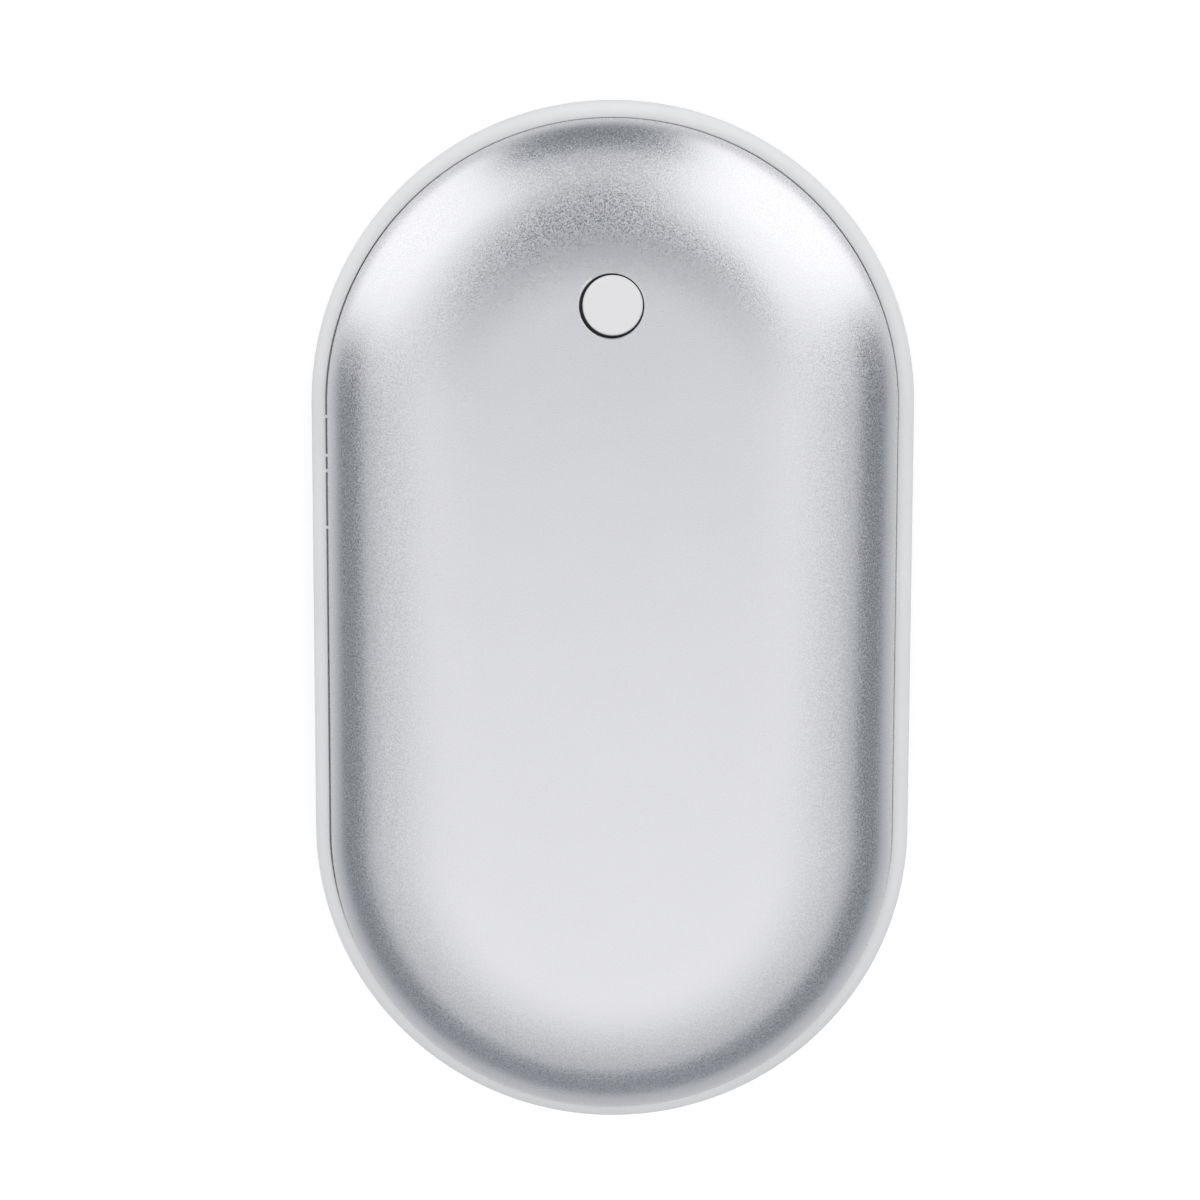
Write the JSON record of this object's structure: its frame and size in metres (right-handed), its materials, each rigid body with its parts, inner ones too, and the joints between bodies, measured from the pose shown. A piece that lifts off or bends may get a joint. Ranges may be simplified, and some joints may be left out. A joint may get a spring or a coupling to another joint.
{
  "type": "rechargeable hand warmer",
  "caption": "Slot-shaped pocket hand warmer: two soft-edged aluminium shells on a white band, a round push button on the face and a charging inlet in the end.",
  "frame": {"origin": "middle of the resting face, under the centre of the body", "axes": "+Z out of the face with the button, +Y along the length to the end with the charging inlet, +X to the right when the button is at the top"},
  "size_m": [0.0582, 0.1, 0.0271],
  "materials": {
    "anodised_aluminium": "fine bead blasted and clear anodised, soft sheen",
    "satin_band": "satin white moulding, a little translucent",
    "white_cap": "smooth white moulding with a low gloss",
    "black_moulding": "fine moulded texture",
    "seal_rubber": "soft and dull",
    "ivory_plastic": "smooth moulding",
    "sheet_steel": "thin rolled sheet",
    "green_board": "solder mask with a soft gloss",
    "plated_screw": "zinc plated, turned heads",
    "plated_inlet": "nickel plated sheet",
    "gold_contact": "gold flashed",
    "chip_black": "moulded epoxy",
    "tinned_copper": "tinned",
    "ferrite": "pressed and dull",
    "tan_ceramic": "fired, with tinned ends",
    "light_lens": "clear yellowish resin",
    "clear_pipe": "frosted clear moulding",
    "cell_can": "nickel plated drawn steel",
    "blue_sleeve": "shrunk film",
    "paper_ring": "pressed fibre",
    "nickel_strip": "bright nickel with weld spots",
    "film_tape": "amber film",
    "red_insulation": "soft sleeving",
    "black_insulation": "soft sleeving",
    "white_insulation": "soft sleeving",
    "sensor_epoxy": "dipped bead",
    "felt_pad": "needled white felt"
  },
  "bodies": {
    "casing": {"front_shell": "anodised_aluminium", "back_shell": "anodised_aluminium", "mid_frame": "satin_band", "front_liner": "black_moulding", "back_liner": "black_moulding", "front_seal": "seal_rubber", "back_seal": "seal_rubber", "switch_base": "black_moulding", "switch_cover": "sheet_steel", "switch_dome": "sheet_steel", "switch_terminals": "sheet_steel", "circuit_board": "green_board", "board_screws": "plated_screw", "inlet_shell": "plated_inlet", "inlet_tongue": "black_moulding", "inlet_contacts": "gold_contact", "controller_chip": "chip_black", "controller_legs": "tinned_copper", "charger_chip": "chip_black", "charger_legs": "tinned_copper", "heater_transistors": "chip_black", "power_inductor": "ferrite", "chip_capacitors": "tan_ceramic", "chip_resistors": "chip_black", "indicator_lights": "light_lens", "light_pipe": "clear_pipe", "button_lights": "light_lens", "cell_tray": "black_moulding", "tray_screws": "plated_screw", "left_cell": "cell_can", "right_cell": "cell_can", "cell_sleeves": "blue_sleeve", "cell_insulators": "paper_ring", "positive_strip": "nickel_strip", "negative_strip": "nickel_strip", "pack_bands": "film_tape", "positive_lead": "red_insulation", "negative_lead": "black_insulation", "front_heater": "film_tape", "back_heater": "film_tape", "front_insulation": "felt_pad", "back_insulation": "felt_pad", "front_leads": "white_insulation", "back_leads": "white_insulation", "heat_sensors": "sensor_epoxy"},
    "button": {"button_cap": "white_cap", "switch_plunger": "ivory_plastic"}
  },
  "joints": [
    {"name": "button_press", "type": "slide", "parent": "casing", "child": "button", "axis": [0, 0, -1], "range_m": [0, 0.0003], "stiffness_N_per_m": 4000, "deforming": ["switch_dome"]}
  ]
}
